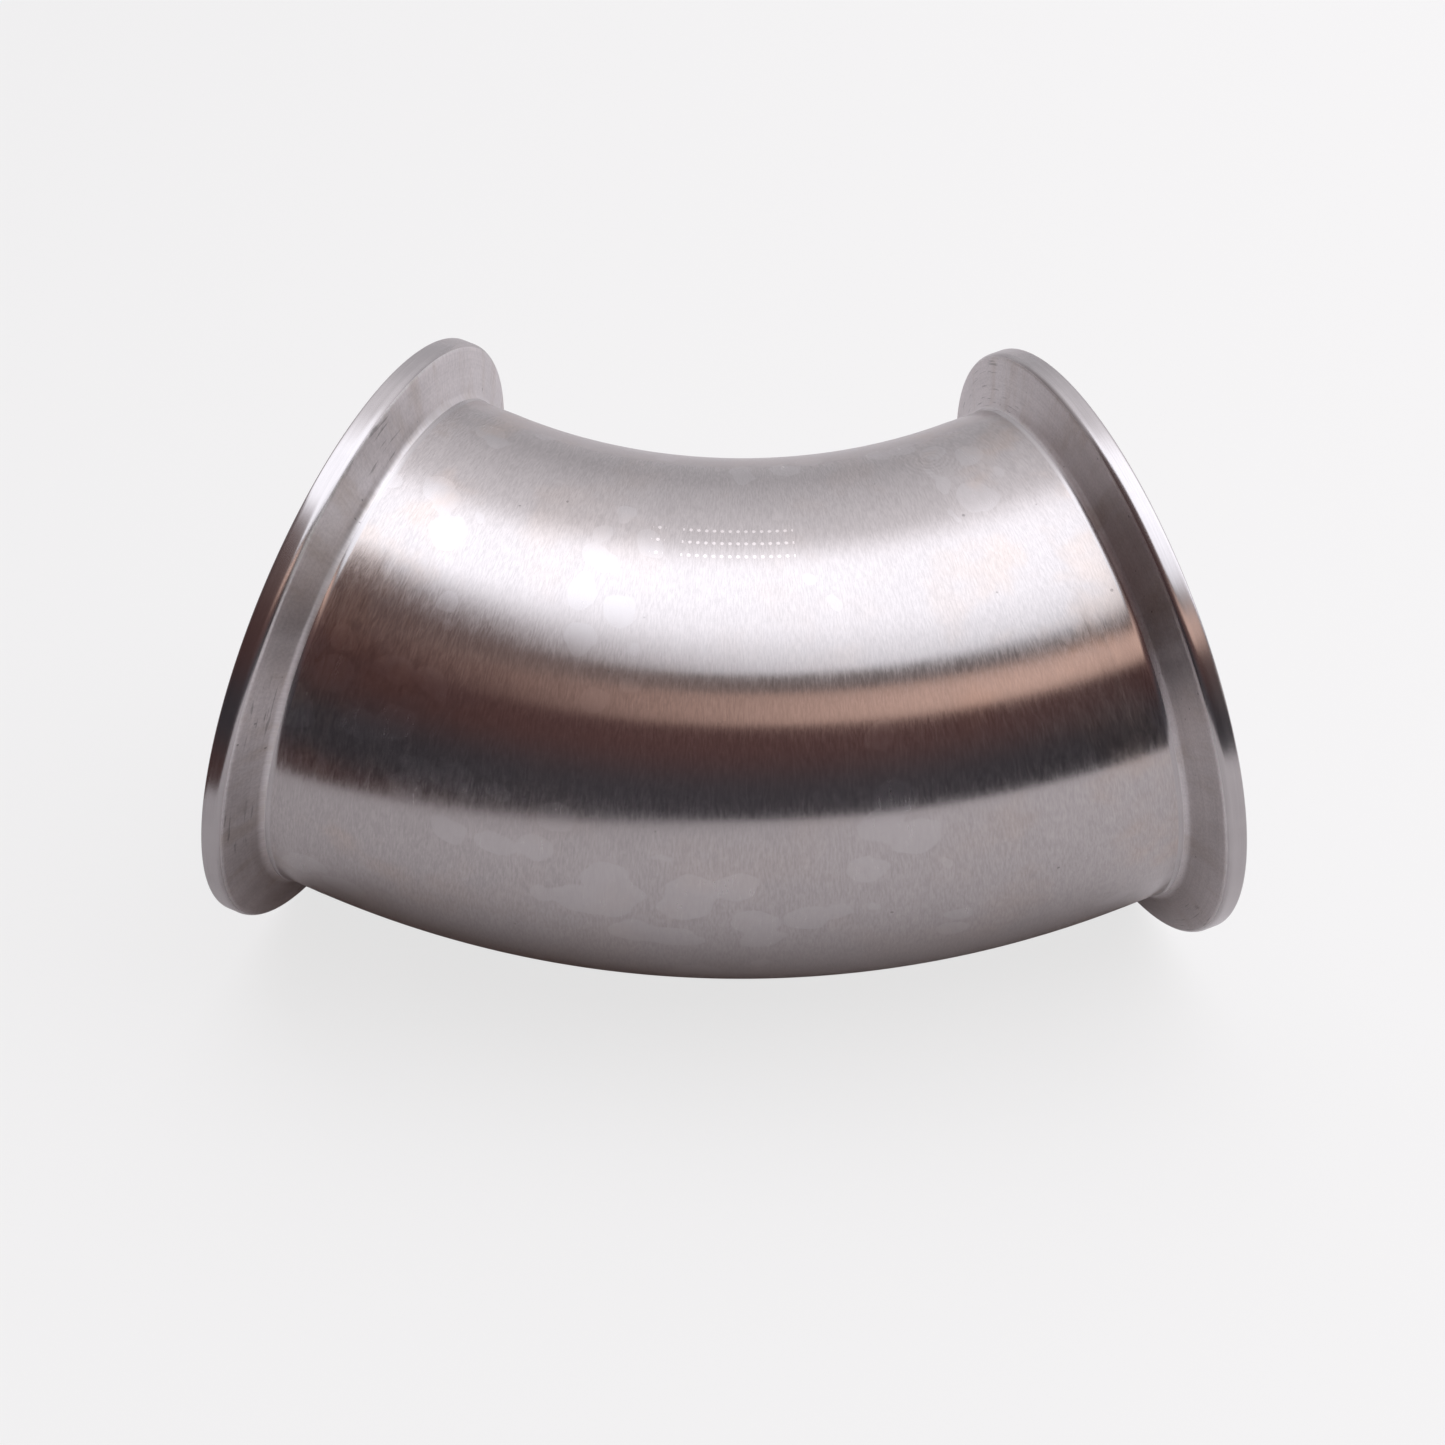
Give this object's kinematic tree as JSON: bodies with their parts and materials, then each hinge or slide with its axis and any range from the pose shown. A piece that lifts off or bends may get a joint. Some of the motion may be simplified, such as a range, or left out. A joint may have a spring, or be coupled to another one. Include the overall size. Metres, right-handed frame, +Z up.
{
  "type": "clamp-end pipe elbow",
  "caption": "Thin-walled brushed stainless elbow that turns a round duct through 45 degrees, with a flat-faced clamp flange at each end.",
  "frame": {"origin": "on the flat surface that the elbow lies on, under the middle of its bounding box; it touches the surface with the belly of the bend and the back corner of both rims", "axes": "+X from the inlet end to the outlet end, across the mirror plane x = 0; +Y from the belly of the bend towards its inside; +Z up"},
  "size_m": [0.1456, 0.0926, 0.0895],
  "materials": {
    "brushed_tube": "hoop-brushed satin stainless steel",
    "turned_ferrule": "turned stainless steel, rim smooth, back dull",
    "ground_weld": "butt weld ground and brushed nearly flush"
  },
  "bodies": {
    "root": {"bend_tube": "brushed_tube", "inlet_ferrule": "turned_ferrule", "outlet_ferrule": "turned_ferrule", "inlet_weld": "ground_weld", "outlet_weld": "ground_weld"}
  },
  "joints": []
}
